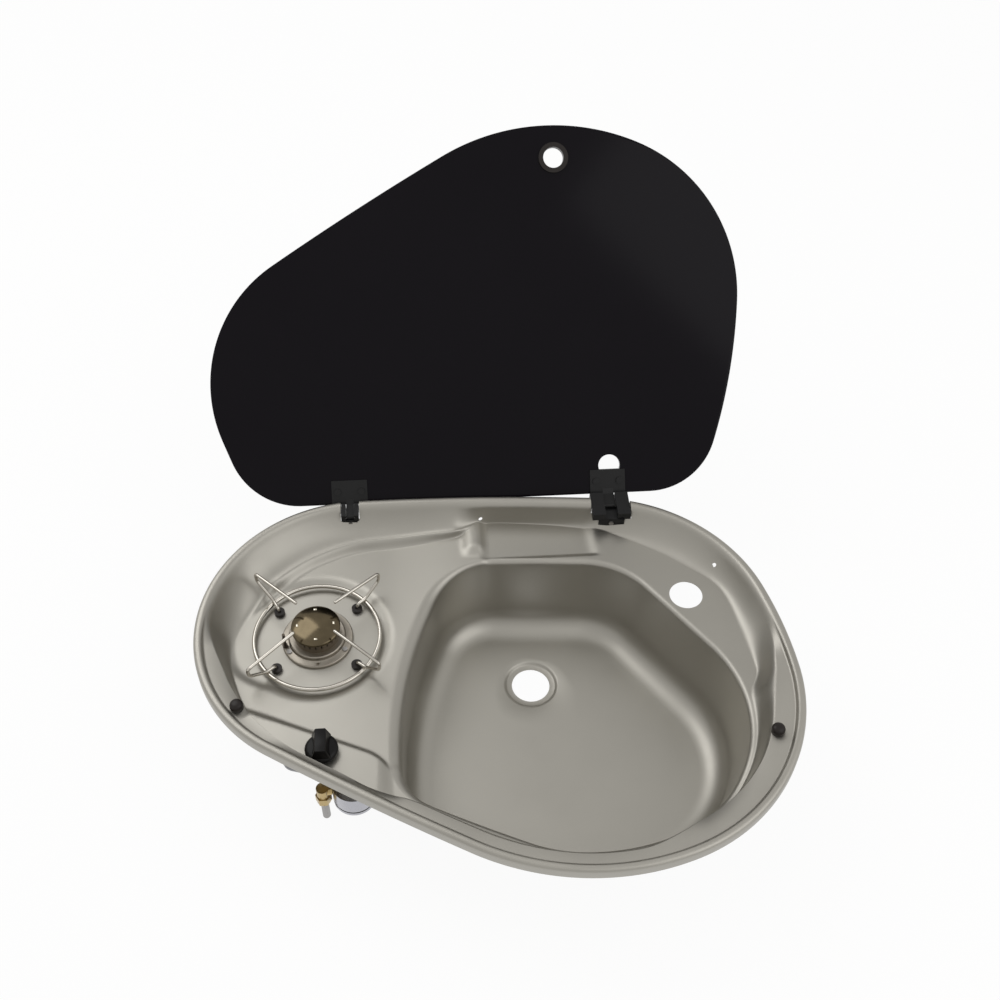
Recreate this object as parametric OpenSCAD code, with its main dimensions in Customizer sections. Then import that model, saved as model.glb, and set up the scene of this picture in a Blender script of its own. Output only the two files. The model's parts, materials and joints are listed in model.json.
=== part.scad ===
// Hob and sink combination: one pressed steel tray with a gas burner and a bowl, under a hinged glass lid.
// Millimetres. X runs right, Y runs back, Z runs up, and Z = 0 is the worktop that the rim stands on.

/* [Plan] */
// Length of the rim, from left to right
length = 600; // [580:1:640]

/* [Tray pressing] */
// Thickness of the steel sheet
sheet = 0.8; // [0.6:0.1:1.2]
// Height of the rim above the worktop
rim_h = 12; // [10:0.5:14]
// Depth of the lid ledge below the rim
ledge_drop = 5.5; // [4:0.5:7]
// Depth of the left deck below the rim
deck_drop = 34; // [32:0.5:36]
// Depth of the burner dish below the left deck
dish_drop = 4; // [3:0.5:6]
// Radius of the flat burner dish
dish_r = 80; // [76:1:84]
// Depth of the back deck and tap ledge below the rim
back_drop = 27; // [24:0.5:30]
// Depth of the knob panel below the rim
panel_drop = 28; // [26:0.5:30]
// Depth of the bowl floor below the rim
bowl_drop = 125; // [110:1:140]
// Radius between the bowl wall and its floor
bowl_fillet = 28; // [20:1:32]
// Lean of the bowl wall, from top to bottom fillet
bowl_lean = 10; // [6:0.5:14]
// Drain hole, radius
drain_r = 20.5; // [18:0.5:24]
// Depth of the drain seat below the floor
drain_drop = 3; // [2:0.5:5]
// Tap hole, radius
tap_r = 17.5; // [15:0.5:18]
// Side fixing hole, radius
fixing_r = 2.2; // [1.8:0.1:2.6]

/* [Lid] */
// Thickness of the glass
glass_t = 5; // [4:0.5:6]
// Height of the closed glass above the rim
glass_gap = 3.5; // [3:0.1:4]
// Radius of the back left glass corner
lid_back_left_r = 78; // [70:1:85]
// Radius of the back right glass corner
lid_back_right_r = 76.6; // [70:0.1:85]
// Height of the hinge plates up the glass
plate_h = 25.5; // [24:0.5:28]
// Width of the hinge plates
plate_w = 39; // [37:1:42]
// Angle from closed to the open stop
lid_open = 132.3; // [125:0.1:133]
// Hinge axis below the rim
hinge_drop = 9.4; // [9.2:0.1:9.4]
// Hinge axis behind the back edge of the closed glass
hinge_back = 12.2; // [12:0.1:12.4]
// Width of the left hinge bracket
hinge_left_w = 19; // [17:0.5:22]
// Width of the right hinge bracket
hinge_right_w = 42; // [36:0.5:44]
// Hinge pin, radius
pin_r = 1.25; // [1:0.05:1.3]
// Finger grommet, outer radius
finger_r = 16; // [14:0.5:17]
// Bore of the finger grommet
finger_bore_r = 11; // [9:0.5:12]
// Lid bumper, radius
bumper_r = 6; // [5:0.5:7]

/* [Burner] */
// Radius of the burner flange
flange_r = 36.5; // [34:0.5:40]
// Radius of the burner cap
cap_r = 25; // [23:0.5:26]
// Height of the burner cap's dome
cap_h = 9; // [7:0.5:10]
// Height of the slotted burner head
head_h = 12; // [10:0.5:13]
// Number of flame ports
ports = 24; // [16:1:30]

/* [Pan support] */
// Mean radius of the ring
ring_r = 64.5; // [62:0.5:67]
// Radius of the ring wire
ring_wire = 2.25; // [2:0.05:2.5]
// Radius of the arm wire
arm_wire = 1.5; // [1.3:0.05:1.7]
// Inner end of an arm from the centre
arm_in = 27.5; // [27:0.5:30]
// Outer tip of an arm from the centre
arm_out = 86; // [82:0.5:90]
// Foot of an arm from the centre
foot_at = 53.5; // [52:0.5:55]
// Angle of the arms from the X axis
arm_angle = 41; // [38:1:46]
// Grommet radius
grommet_r = 5.5; // [5:0.5:6]

/* [Knob and gas tap] */
// Radius of the knob's skirt
knob_r = 16; // [14:0.5:17]
// Height of the knob
knob_h = 18.5; // [16:0.5:20]
// Travel of the knob when it is pushed
knob_push = 3; // [2:0.5:3]
// Radius of the spindle
spindle_r = 3; // [2.5:0.1:3.5]
// Radius of the tap body
tap_body_r = 12; // [11:0.5:13]
// Radius of the gas pipes
pipe_r = 4; // [3.5:0.1:4.2]
// Radius of the governor housing
governor_r = 21.5; // [19:0.5:22]
// Length of gas pipe below the inlet nut
inlet_length = 28; // [22:1:34]

/* [Hidden] */
$fn = 48;
eps = 0.01;
seat_gap = 0.3;
seal_gap = 1.4;
run_gap = 0.05;
steps = 80;
deck_rows = 7;
// Places in the plan grow with its length
plan = length / 600;
// The rim: four corner circles [centre X, centre Y, radius], counter-clockwise from the left, and the radii
// of the sides between them
rim_corners = plan * [[-135.8, 57.8, 164.6], [50.5, -37.9, 176.4], [107, -26.4, 193.1], [112.3, 33.8, 178.4]];
rim_sides = plan * [3419, 257, 445, 2432];
// The bowl's upper edge: five corner circles, from the front left
bowl_corners = plan * [[-50, -81, 57], [80, -37, 153], [114, -49, 136], [96, 56, 90], [7, 70, 83]];
bowl_sides = plan * [1800, 220, 90000, 60000, 430];
lid_back_y = 194 * plan;
// The glass: a left, front and right corner, then two corners at its straight back edge. The back left
// circle lies inside the left one, apart by corner_gap
lid_front = plan * [[-133.4, 65.5, 156.3], [52.9, -28.2, 169.8], [112.3, -23.4, 177.6]];
corner_gap = 3.9;
lid_back_left_y = lid_back_y - lid_back_left_r;
lid_back_left_x = lid_front[0][0] - sqrt(pow(lid_front[0][2] - lid_back_left_r + corner_gap, 2)
    - pow(lid_back_left_y - lid_front[0][1], 2));
lid_corners = concat(lid_front, [[187.7 * plan, lid_back_y - lid_back_right_r, lid_back_right_r],
    [lid_back_left_x, lid_back_left_y, lid_back_left_r]]);
lid_sides = plan * [3481, 242, 610, 60000, 1625];
drain_x = 43 * plan;
drain_y = 54 * plan;
tap_x = 208 * plan;
tap_y = 92 * plan;
burner_x = -180 * plan;
burner_y = 66 * plan;
knob_x = -172 * plan;
knob_y = -72 * plan;
finger_x = 90.7 * plan;
finger_y = -172.1 * plan;
hinge_left_x = -145.5 * plan;
hinge_right_x = 140 * plan;
hinge_y = lid_back_y + hinge_back;
bumpers_at = plan * [[-252, -31.8], [262.9, -90]];
side_fixing = plan * [250, 128];
back_fixing = plan * [-3, 190];
deck_z = rim_h - deck_drop;
dish_z = deck_z - dish_drop;
back_z = rim_h - back_drop;
panel_z = rim_h - panel_drop;
ledge_z = rim_h - ledge_drop;
floor_z = rim_h - bowl_drop;
bead_w = 11.5;
glass_z = rim_h + glass_gap;
hinge_z = rim_h - hinge_drop;
knuckle_r = 2.6;
head_z = dish_z + 9;
cap_z = head_z + head_h;
ring_z = dish_z + ring_wire + 3.2;
tap_top = panel_z - sheet - 2;
knob_z = panel_z + 1.5 + knob_push;
tap_bottom = tap_top - 36;
strap = 1.2;
governor_x = knob_x + 27;
governor_y = knob_y - 11.7;
governor_top = tap_bottom - strap;
inlet_x = governor_x - 30.5;
inlet_y = governor_y - 3.3;
magnet_turn = 163;
flange_screw_at = [90, 210, 330];
pipe_end_r = pipe_r - 0.25;
cup_bottom = dish_z - 32;
tap_hole_r = 6.3;
grommet_hole_r = 3.5;
flange_screw_ring = flange_r - 3.8;
flange_hole_r = 1.6;
flange_h = 3.5;
probe_at = [4 - flange_r, -9];
probe_hole_r = 1.8;
probe_r = 1.5;
cup_neck_r = 18.6;
left_tongue = 4;
right_tongue = 18.3;
tongue_lean = -9.6;
bracket_screw_r = 2.6;
cheek_back = 14;
plate_t = 1.5;
clamp_out = 13;
clamp_back = 14;
clamp_hole_r = 2.1;
light_hole_r = 12;
glass_hole_gap = 0.5;
nut_h = 3;
spring_h = 10;
magnet_r = 6.5;
magnet_low = 26;
burner_pipe_r = 3;
union_low = 30;
inlet_nut_low = 30;
injector_r = 4;

function xy(p) = [p[0], p[1]];
function dir(v) = atan2(v[1], v[0]);
function wrap(a) = (a % 360 + 360) % 360;
function ease(x) = let (c = min(max(x, 0), 1)) c * c * (3 - 2 * c);
function bump(t, a, b, c, d) = ease((t - a) / (b - a)) * (1 - ease((t - c) / (d - c)));
// Centre of the side arc of radius R that touches the corner circles a and b
function side_centre(a, b, R) =
    let (v = xy(b) - xy(a), d = norm(v), u = v / d, n = [-u[1], u[0]],
        t = (pow(R - a[2], 2) - pow(R - b[2], 2) + d * d) / (2 * d))
    xy(a) + u * t + n * sqrt(pow(R - a[2], 2) - t * t);
// All arcs of an outline as [centre X, centre Y, radius, first angle, last angle]
function arcs(c, R) =
    let (k = len(c), s = [for (i = [0:k - 1]) side_centre(c[i], c[(i + 1) % k], R[i])])
    [for (i = [0:k - 1])
        let (a = dir(xy(c[i]) - s[(i + k - 1) % k]), b = dir(xy(c[i]) - s[i]),
            d = dir(xy(c[(i + 1) % k]) - s[i]))
        each [[c[i][0], c[i][1], c[i][2], a, a + wrap(b - a)], [s[i][0], s[i][1], R[i], b, b + wrap(d - b)]]];
// Where the ray at angle t from the origin leaves the outline, and the outline's normal there
function reach(A, t) =
    let (u = [cos(t), sin(t)])
    [for (a = A)
        let (w = xy(a), b = w * u, q = b * b - w * w + a[2] * a[2])
        if (q >= 0)
            let (d = b + sqrt(q), f = dir(d * u - w))
            if (d > 0 && wrap(f - a[3]) <= a[4] - a[3] + 0.001) [d, f]][0];
function turn(i) = 360 * i / steps - 180;
// The outline drawn in by o, as points
function outline(A, o, n = steps) =
    [for (i = [0:n - 1])
        let (t = 360 * i / n - 180, h = reach(A, t)) h[0] * [cos(t), sin(t)] - o * [cos(h[1]), sin(h[1])]];

rim_arcs = arcs(rim_corners, rim_sides);
bowl_arcs = arcs(bowl_corners, bowl_sides);
lid_arcs = arcs(lid_corners, lid_sides);
// Width of the lid ledge inside the bead: a long crescent at the front, wider at its right end, and a short
// one at the left. Angles are in degrees round the origin
front_ledge = 13 * plan;
right_ledge = 4 * plan;
left_ledge = 18 * plan;
function ledge_w(t) =
    front_ledge * bump(t, -138, -118, -14, 10) + right_ledge * bump(t, -50, -30, -10, 6)
    + left_ledge * bump(wrap(t), 165, 182, 190, 202);
// How far the tray's wall leans in, from the ledge to the deck: steep at the front, and wider at the back,
// at the tap and at the left
steep_run = 2.5 * plan;
back_run = 7 * plan;
tap_run = 14 * plan;
left_run = 5 * plan;
function wall_run(t) =
    steep_run + back_run * (1 - bump(t, -176, -164, -15, 5)) + tap_run * bump(t, -5, 12, 34, 48)
    + left_run * bump(wrap(t), 130, 150, 180, 200);
// Height of the pressed deck at a place: the left deck, the higher back deck with its soap dish, the raised
// knob panel and the burner dish
soap_drop = 4;
dish_bank = 8;
function deck_at(p) =
    let (burner = norm(p - [burner_x, burner_y]), x = p[0] / plan, y = p[1] / plan,
        base = deck_z + (back_z - deck_z) * ease((x + 60) / 50) * ease((y + 90) / 60 + ease(x / 60)),
        soap = soap_drop * bump(x, -8, 4, 104, 122) * bump(y, 146, 152, 180, 190),
        panel = (panel_z - deck_z) * bump(x, -250, -225, -140, -118) * ease((-y - 103 - x / 3) / 14))
    base - soap + panel - dish_drop * (1 - ease((burner - dish_r) / dish_bank + 1));
// One ring of the rim, o in from the outline
function rim_ring(o, z) =
    [for (i = [0:steps - 1]) let (h = reach(rim_arcs, turn(i)))
        [h[0] * cos(turn(i)) - o * cos(h[1]), h[0] * sin(turn(i)) - o * sin(h[1]), z]];
// One ring of the wall: part of its run, and its height as a part of the drop to the deck
function wall_ring(run, drop) =
    [for (i = [0:steps - 1])
        let (t = turn(i), h = reach(rim_arcs, t), o = bead_w + 1 + ledge_w(t) + run * wall_run(t),
            p = h[0] * [cos(t), sin(t)] - o * [cos(h[1]), sin(h[1])])
        [p[0], p[1], ledge_z + drop * (deck_at(p) - ledge_z)]];
function bowl_ring(o, z) =
    [for (i = [0:steps - 1])
        let (t = turn(i), h = reach(bowl_arcs, t), p = h[0] * [cos(t), sin(t)] - o * [cos(h[1]), sin(h[1])])
        [p[0], p[1], z]];
function bowl_top(o, low) =
    [for (p = bowl_ring(o, 0)) [p[0], p[1], deck_at(xy(p)) - low]];
function deck_ring(a, b, s) =
    [for (i = [0:steps - 1]) let (p = (1 - s) * a[i] + s * b[i]) [p[0], p[1], deck_at(xy(p))]];
function drain_ring(r, z) =
    [for (i = [0:steps - 1]) [drain_x + r * cos(turn(i)), drain_y + r * sin(turn(i)), z]];

wall_foot = wall_ring(1, 1);
bowl_edge = bowl_top(0, 0);
fillet_z = floor_z + bowl_fillet;
tray_rings = [
    rim_ring(0, 0), rim_ring(0, rim_h - 3.5), rim_ring(1.2, rim_h - 1.2), rim_ring(4, rim_h),
    rim_ring(6, rim_h), rim_ring(8.8, rim_h - 1.5), rim_ring(10, rim_h - ledge_drop + 1), rim_ring(bead_w, ledge_z),
    wall_ring(0, 0), wall_ring(0.2, 0.08), wall_ring(0.55, 0.6), wall_ring(0.75, 0.88), wall_foot,
    for (k = [1:deck_rows]) deck_ring(wall_foot, bowl_edge, k / (deck_rows + 1)), bowl_edge,
    bowl_top(4, 2), bowl_top(7, 8),
    bowl_ring(bowl_lean, fillet_z),
    for (a = [30, 60, 90]) bowl_ring(bowl_lean + bowl_fillet * (1 - cos(a)), fillet_z - bowl_fillet * sin(a)),
    drain_ring(drain_r + 9.5, floor_z), drain_ring(drain_r + 6, floor_z - drain_drop),
    drain_ring(drain_r - 8, floor_z - drain_drop)];
// The pressing is cut into three nodes, at the top of the wall and at the bowl's edge
wall_from = 8;
bowl_from = 13 + deck_rows;

// The underside of the sheet, ring by ring
sheet_under = [for (k = [0:len(tray_rings) - 1]) [for (i = [0:steps - 1])
    let (along = tray_rings[k][(i + 1) % steps] - tray_rings[k][(i + steps - 1) % steps],
        down = tray_rings[min(k + 1, len(tray_rings) - 1)][i] - tray_rings[max(k - 1, 0)][i],
        c = cross(along, down))
    tray_rings[k][i] - c / norm(c) * sheet]];
// The closed sheet between two of the tray's rings
module pressing(first, last) {
    m = last - first + 1;
    n = steps;
    points = [for (k = [first:last]) each tray_rings[k], for (k = [first:last]) each sheet_under[k]];
    function at(side, k, i) = side * m * n + k * n + i % n;
    faces = [
        for (k = [0:m - 2], i = [0:n - 1])
            each [[at(0, k, i), at(0, k + 1, i + 1), at(0, k, i + 1)], [at(0, k, i), at(0, k + 1, i), at(0, k + 1, i + 1)],
                [at(1, k, i), at(1, k, i + 1), at(1, k + 1, i + 1)], [at(1, k, i), at(1, k + 1, i + 1), at(1, k + 1, i)]],
        for (i = [0:n - 1])
            each [[at(0, 0, i), at(0, 0, i + 1), at(1, 0, i + 1)], [at(0, 0, i), at(1, 0, i + 1), at(1, 0, i)],
                [at(0, m - 1, i), at(1, m - 1, i + 1), at(0, m - 1, i + 1)],
                [at(0, m - 1, i), at(1, m - 1, i), at(1, m - 1, i + 1)]]];
    polyhedron(points, faces, convexity = 12);
}
// Cuts for the two hinges, through the rim
module hinge_notches() {
    for (h = [[hinge_left_x, hinge_left_w, left_tongue + 4], [hinge_right_x, hinge_right_w, right_tongue + 0.7]])
        translate([h[0] - h[1] / 2 - 2 * seat_gap, hinge_y - h[2], -0.5])
            cube([h[1] + 4 * seat_gap, h[2] + 20, rim_h + 2]);
}
module at_arms() {
    for (a = [arm_angle, 180 - arm_angle, 180 + arm_angle, -arm_angle])
        translate([burner_x, burner_y, 0]) rotate([0, 0, a]) children();
}
// A round rod from p to q
module rod(p, q, r) {
    v = q - p;
    translate(p) rotate([0, acos(v[2] / norm(v)), atan2(v[1], v[0])]) cylinder(r = r, h = norm(v));
}
module ball(p, r) {
    translate(p) sphere(r = r + 0.03);
}
module tube(r, hole, h) {
    difference() {
        cylinder(r = r, h = h);
        translate([0, 0, -1]) cylinder(r = hole, h = h + 2);
    }
}
// What is drawn closed and stands open
module opened() {
    translate([0, hinge_y, hinge_z]) rotate([-lid_open, 0, 0]) translate([0, -hinge_y, -hinge_z]) children();
}

// The bead and the lid ledge
module tray_rim() {
    color("#a9a396") difference() {
        pressing(0, wall_from);
        hinge_notches();
    }
}
// The wall and the decks, from the ledge to the bowl
module tray() {
    color("#a9a396") difference() {
        pressing(wall_from, bowl_from);
        translate([tap_x, tap_y, back_z - 10]) cylinder(r = tap_r, h = 20);
        translate([burner_x, burner_y, dish_z - 5]) cylinder(r = cap_r + 0.5, h = 10);
        at_arms() translate([foot_at, 0, dish_z - 5]) cylinder(r = grommet_hole_r, h = 10);
        translate([burner_x, burner_y, dish_z]) cylinder(r = foot_at + grommet_r + 1, h = 2);
        translate([burner_x + probe_at[0], burner_y + probe_at[1], dish_z - 5]) cylinder(r = probe_hole_r, h = 10);
        for (a = flange_screw_at)
            translate([burner_x, burner_y, dish_z - 5]) rotate([0, 0, a])
                translate([flange_screw_ring, 0, 0]) cylinder(r = flange_hole_r, h = 10);
        translate([knob_x, knob_y, panel_z - 5]) cylinder(r = tap_hole_r, h = 10);
        translate([side_fixing[0], side_fixing[1], back_z + 9]) rotate([0, 90, 20]) cylinder(r = fixing_r, h = 50);
        translate([back_fixing[0], back_fixing[1], back_z + 5]) rotate([-90, 0, 0]) cylinder(r = fixing_r, h = 40);
        hinge_notches();
    }
}
// The bowl, with the drain hole in its floor
module bowl() {
    color("#a9a396") difference() {
        pressing(bowl_from, len(tray_rings) - 1);
        translate([drain_x, drain_y, floor_z - 10]) cylinder(r = drain_r, h = 20);
    }
}
module rim_seal() {
    color("#222222") difference() {
        linear_extrude(rim_h - sheet - seal_gap) difference() {
            polygon(outline(rim_arcs, 3));
            polygon(outline(rim_arcs, 8));
        }
        hinge_notches();
    }
}
module lid_bumpers() {
    color("#17130f") for (p = bumpers_at)
        translate([p[0], p[1], ledge_z]) {
            cylinder(r = bumper_r, h = 5);
            translate([0, 0, 5]) cylinder(r1 = bumper_r, r2 = bumper_r - 2, h = ledge_drop + glass_gap - seat_gap - 5);
        }
}
// Two cheeks that run out behind the pin, and the tongue that lies on the tray's inner wall
module hinge_bracket(w, arm_w, front, tongue_w, tongue_z, lean) {
    cheek = (w - arm_w) / 2 - 0.4;
    color("#141414") difference() {
        union() {
            for (s = [-1, 1]) translate([s * (w - cheek) / 2, 0, 0]) {
                translate([-cheek / 2, front - hinge_y, -0.4]) cube([cheek, hinge_y - front, 9]);
                translate([-cheek / 2, -1, 0]) cube([cheek, 1 + cheek_back, 8.6]);
                translate([-cheek / 2, 0, knuckle_r + 0.1])
                    rotate([0, 90, 0]) cylinder(r = knuckle_r + 0.2, h = cheek);
            }
            translate([-w / 2, front - hinge_y, -0.4])
                cube([w, min(5.5, hinge_y - front - knuckle_r - 2 * seat_gap), 1.2]);
            translate([0, front - hinge_y, 0]) rotate([0, 0, lean])
                translate([-tongue_w / 2, 0, tongue_z]) cube([tongue_w, 1.6, 0.8 - tongue_z]);
        }
        rotate([0, 90, 0]) translate([-hinge_z, 0, -w]) cylinder(r = pin_r + 0.01, h = 2 * w);
    }
}
module hinge_bracket_left() {
    translate([hinge_left_x, hinge_y, 0])
        hinge_bracket(hinge_left_w, 8.4, hinge_y - left_tongue, 16, -8, 1);
}
module hinge_bracket_right() {
    translate([hinge_right_x, hinge_y, 0])
        hinge_bracket(hinge_right_w, 12.4, hinge_y - right_tongue, 28, -11, tongue_lean);
}
module hinge_pins() {
    color("#8c8c8c") for (h = [[hinge_left_x, hinge_left_w], [hinge_right_x, hinge_right_w]])
        translate([h[0] - h[1] / 2, hinge_y, hinge_z]) rotate([0, 90, 0]) cylinder(r = pin_r, h = h[1]);
}
module bracket_screws() {
    color("#b8b8b8") {
        translate([hinge_left_x, hinge_y - left_tongue, -4.5]) rotate([90, 0, 1])
            cylinder(r = bracket_screw_r, h = 1.2);
        translate([hinge_right_x, hinge_y - right_tongue, -6]) rotate([90, 0, tongue_lean])
            cylinder(r = bracket_screw_r, h = 1.2);
    }
}
module support_grommets() {
    color("#1a1714") at_arms() translate([foot_at, 0, dish_z]) difference() {
        union() {
            cylinder(r = grommet_r, h = 4);
            translate([0, 0, -4]) cylinder(r = 3.4, h = 4 + eps);
        }
        translate([0, 0, 0.8]) cylinder(r = arm_wire + 0.4, h = 4);
    }
}
module burner_flange() {
    color("#8d8578") translate([burner_x, burner_y, dish_z]) difference() {
        union() {
            cylinder(r = flange_r, h = flange_h);
            cylinder(r = flange_r - 7.5, h = head_z - dish_z);
        }
        translate([0, 0, -1]) cylinder(r = cup_neck_r + 0.4, h = 12);
        for (a = flange_screw_at)
            rotate([0, 0, a]) translate([flange_screw_ring, 0, -1]) cylinder(r = flange_hole_r, h = 6);
        rotate([0, 0, -88]) translate([flange_screw_ring, 0, 1.5]) cylinder(r = flange_hole_r, h = 6);
        translate([probe_at[0], probe_at[1], -1]) cylinder(r = probe_hole_r, h = 6);
    }
}
module flange_screws() {
    color("#b8b8b8") translate([burner_x, burner_y, dish_z]) for (a = flange_screw_at)
        rotate([0, 0, a]) translate([flange_screw_ring, 0, 0]) {
            translate([0, 0, -sheet]) cylinder(r = flange_hole_r - 0.1, h = sheet + flange_h);
            translate([0, 0, flange_h]) cylinder(r = 2.6, h = 1.2);
        }
}
module burner_head() {
    color("#6f6552") translate([burner_x, burner_y, head_z]) difference() {
        cylinder(r = cap_r - 2, h = head_h);
        translate([0, 0, -1]) cylinder(r = 14, h = head_h + 2);
        for (i = [0:ports - 1]) rotate([0, 0, 360 * i / ports])
            translate([13, -0.7, head_h - 6]) cube([12, 1.4, 4]);
    }
}
module burner_cap() {
    rise = cap_h - 3;
    dome = (cap_r * cap_r + rise * rise) / (2 * rise);
    color("#4a3d2a") translate([burner_x, burner_y, cap_z]) {
        cylinder(r = cap_r, h = 3);
        intersection() {
            translate([0, 0, 3 + rise - dome]) sphere(r = dome, $fn = 96);
            translate([0, 0, 2.9]) cylinder(r = cap_r - 0.1, h = cap_h);
        }
        translate([0, 0, -3]) cylinder(r = 13.4, h = 3 + eps);
        for (a = [0:90:270]) rotate([0, 0, a + 2]) translate([cap_r - 8, 0, 3]) cylinder(r = 1.6, h = rise - 1);
    }
}
module mixing_cup() {
    color("#9a958a") translate([burner_x, burner_y, cup_bottom]) difference() {
        union() {
            cylinder(r = cap_r - 1, h = dish_z - cup_bottom);
            translate([0, 0, dish_z - cup_bottom]) cylinder(r = cup_neck_r, h = 8.5);
        }
        translate([0, 0, 2]) cylinder(r = 17, h = 60);
        translate([0, 0, -1]) cylinder(r = injector_r + 0.2, h = 10);
        for (a = [0, 180]) rotate([0, 0, a]) translate([12, -6, 8]) cube([20, 12, 12]);
    }
}
module injector() {
    color("#b08d3f") translate([burner_x, burner_y, cup_bottom]) difference() {
        union() {
            translate([0, 0, -9]) cylinder(r = injector_r, h = 19);
            translate([0, 0, -4]) cylinder(r = 7, h = 4 - eps, $fn = 6);
        }
        translate([0, 0, -20]) cylinder(r = 0.6, h = 40);
    }
}
module thermocouple() {
    color("#a98f6a") translate([burner_x + probe_at[0], burner_y + probe_at[1], 0]) {
        translate([0, 0, dish_z - 14]) cylinder(r = probe_r, h = 38);
        translate([0, 0, dish_z + flange_h]) cylinder(r = 2.6, h = 3);
    }
}
module gas_tap() {
    color("#b5a06a") translate([knob_x, knob_y, 0]) difference() {
        union() {
            translate([0, 0, tap_bottom]) cylinder(r = tap_body_r, h = tap_top - tap_bottom);
            translate([0, 0, tap_top - magnet_low]) rotate([0, 90, magnet_turn])
                cylinder(r = magnet_r, h = tap_body_r + 2);
            translate([0, 0, tap_top - eps]) cylinder(r = 6, h = panel_z + 4.5 - tap_top);
        }
        translate([0, 0, tap_top - 24]) cylinder(r = 6.2, h = spring_h + 8);
        translate([0, 0, tap_top - 10]) cylinder(r = spindle_r + run_gap, h = 40);
        translate([0, 0, tap_top - 32]) cylinder(r = 2.5 + run_gap, h = 20);
    }
}
module tap_nut() {
    color("#c9c9c9") translate([knob_x, knob_y, panel_z]) difference() {
        cylinder(r = 9.2, h = nut_h, $fn = 6);
        translate([0, 0, -1]) cylinder(r = 6.05, h = 6);
    }
}
module tap_spring() {
    color("#b0b0b0") translate([knob_x, knob_y, tap_top - 24]) tube(5.6, 4.4, spring_h);
}
module push_rod() {
    color("#c0c0c0") translate([knob_x, knob_y, 0]) {
        translate([0, 0, tap_top - 28]) cylinder(r = 2.5, h = 15.5);
        translate([0, 0, tap_top - 13.9]) cylinder(r = 5.6, h = 1.4);
    }
}
module spindle() {
    color("#b9a56c") translate([knob_x, knob_y, 0]) difference() {
        translate([0, 0, tap_top - 12.2]) cylinder(r = spindle_r, h = knob_z + 11 - tap_top + 12.2);
        translate([spindle_r - 0.8, -5, knob_z + 3]) cube([5, 10, 20]);
    }
}
module knob() {
    color("#14120f") translate([knob_x, knob_y, knob_z]) difference() {
        union() {
            cylinder(r = knob_r, h = 3);
            translate([0, 0, 3]) cylinder(r1 = knob_r, r2 = knob_r - 2.5, h = 3);
            translate([-7, -knob_r + 3.5, 5]) cube([14, 2 * knob_r - 7, knob_h - 5]);
        }
        translate([0, 0, -1]) cylinder(r = 11, h = 4.5);
        translate([0, 0, -1]) difference() {
            cylinder(r = spindle_r + 0.02, h = 12.2);
            translate([spindle_r - 0.78, -5, 4]) cube([5, 10, 20]);
        }
    }
}
module magnet_unit() {
    color("#bfbfbf") {
        translate([knob_x, knob_y, tap_top - magnet_low]) rotate([0, 0, magnet_turn])
            translate([tap_body_r + 2, 0, 0]) rotate([0, 90, 0]) {
                cylinder(r = magnet_r, h = 6);
                translate([0, 0, 6]) cylinder(r = 10.5, h = 12);
                translate([0, 0, 18]) sphere(r = 10.3);
            }
    }
}
module governor_housing() {
    color("#c6c6c6") translate([governor_x, governor_y, governor_top - 22]) cylinder(r = governor_r, h = 22);
}
module governor_gasket() {
    color("#1a1a1a") translate([governor_x, governor_y, governor_top - 24]) cylinder(r = governor_r - 0.4, h = 2);
}
module governor_cover() {
    color("#d2d2d2") translate([governor_x, governor_y, governor_top - 31]) {
        translate([0, 0, 3]) cylinder(r = governor_r, h = 4);
        cylinder(r1 = governor_r - 3, r2 = governor_r, h = 3);
    }
}
// A flat strap under the tap body, which carries the governor
module governor_bracket() {
    to = [governor_x - knob_x, governor_y - knob_y];
    color("#9c9c9c") translate([knob_x, knob_y, governor_top]) {
        cylinder(r = tap_body_r, h = strap);
        rotate([0, 0, dir(to)]) translate([0, -9, 0]) cube([norm(to), 18, strap]);
        translate(to) cylinder(r = 14, h = strap);
    }
}
module inlet_elbow() {
    to = [governor_x - inlet_x, governor_y - inlet_y];
    color("#b58f3c") difference() {
        union() {
            translate([inlet_x, inlet_y, governor_top - 16]) cylinder(r = 6.2, h = 13);
            translate([inlet_x, inlet_y, governor_top - 9]) rotate([0, 0, dir(to)])
                rotate([0, 90, 0]) cylinder(r = 5, h = norm(to) - governor_r);
        }
        translate([inlet_x, inlet_y, governor_top - 17]) cylinder(r = pipe_end_r + 0.02, h = 9);
    }
}
module inlet_nut() {
    color("#b58f3c") translate([inlet_x, inlet_y, governor_top - inlet_nut_low]) difference() {
        union() {
            translate([0, 0, 4]) cylinder(r = 8, h = 10, $fn = 6);
            cylinder(r1 = 5.5, r2 = 7, h = 4);
        }
        translate([0, 0, -1]) cylinder(r = pipe_end_r + 0.02, h = 20);
    }
}
// The stub below the nut is full size, and the end inside the nut is drawn in
module inlet_pipe() {
    color("#8f9398") translate([inlet_x, inlet_y, governor_top - inlet_nut_low - inlet_length]) {
        tube(pipe_r, pipe_r - 1, inlet_length);
        translate([0, 0, inlet_length]) tube(pipe_end_r, pipe_r - 1, 21);
    }
}
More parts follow.
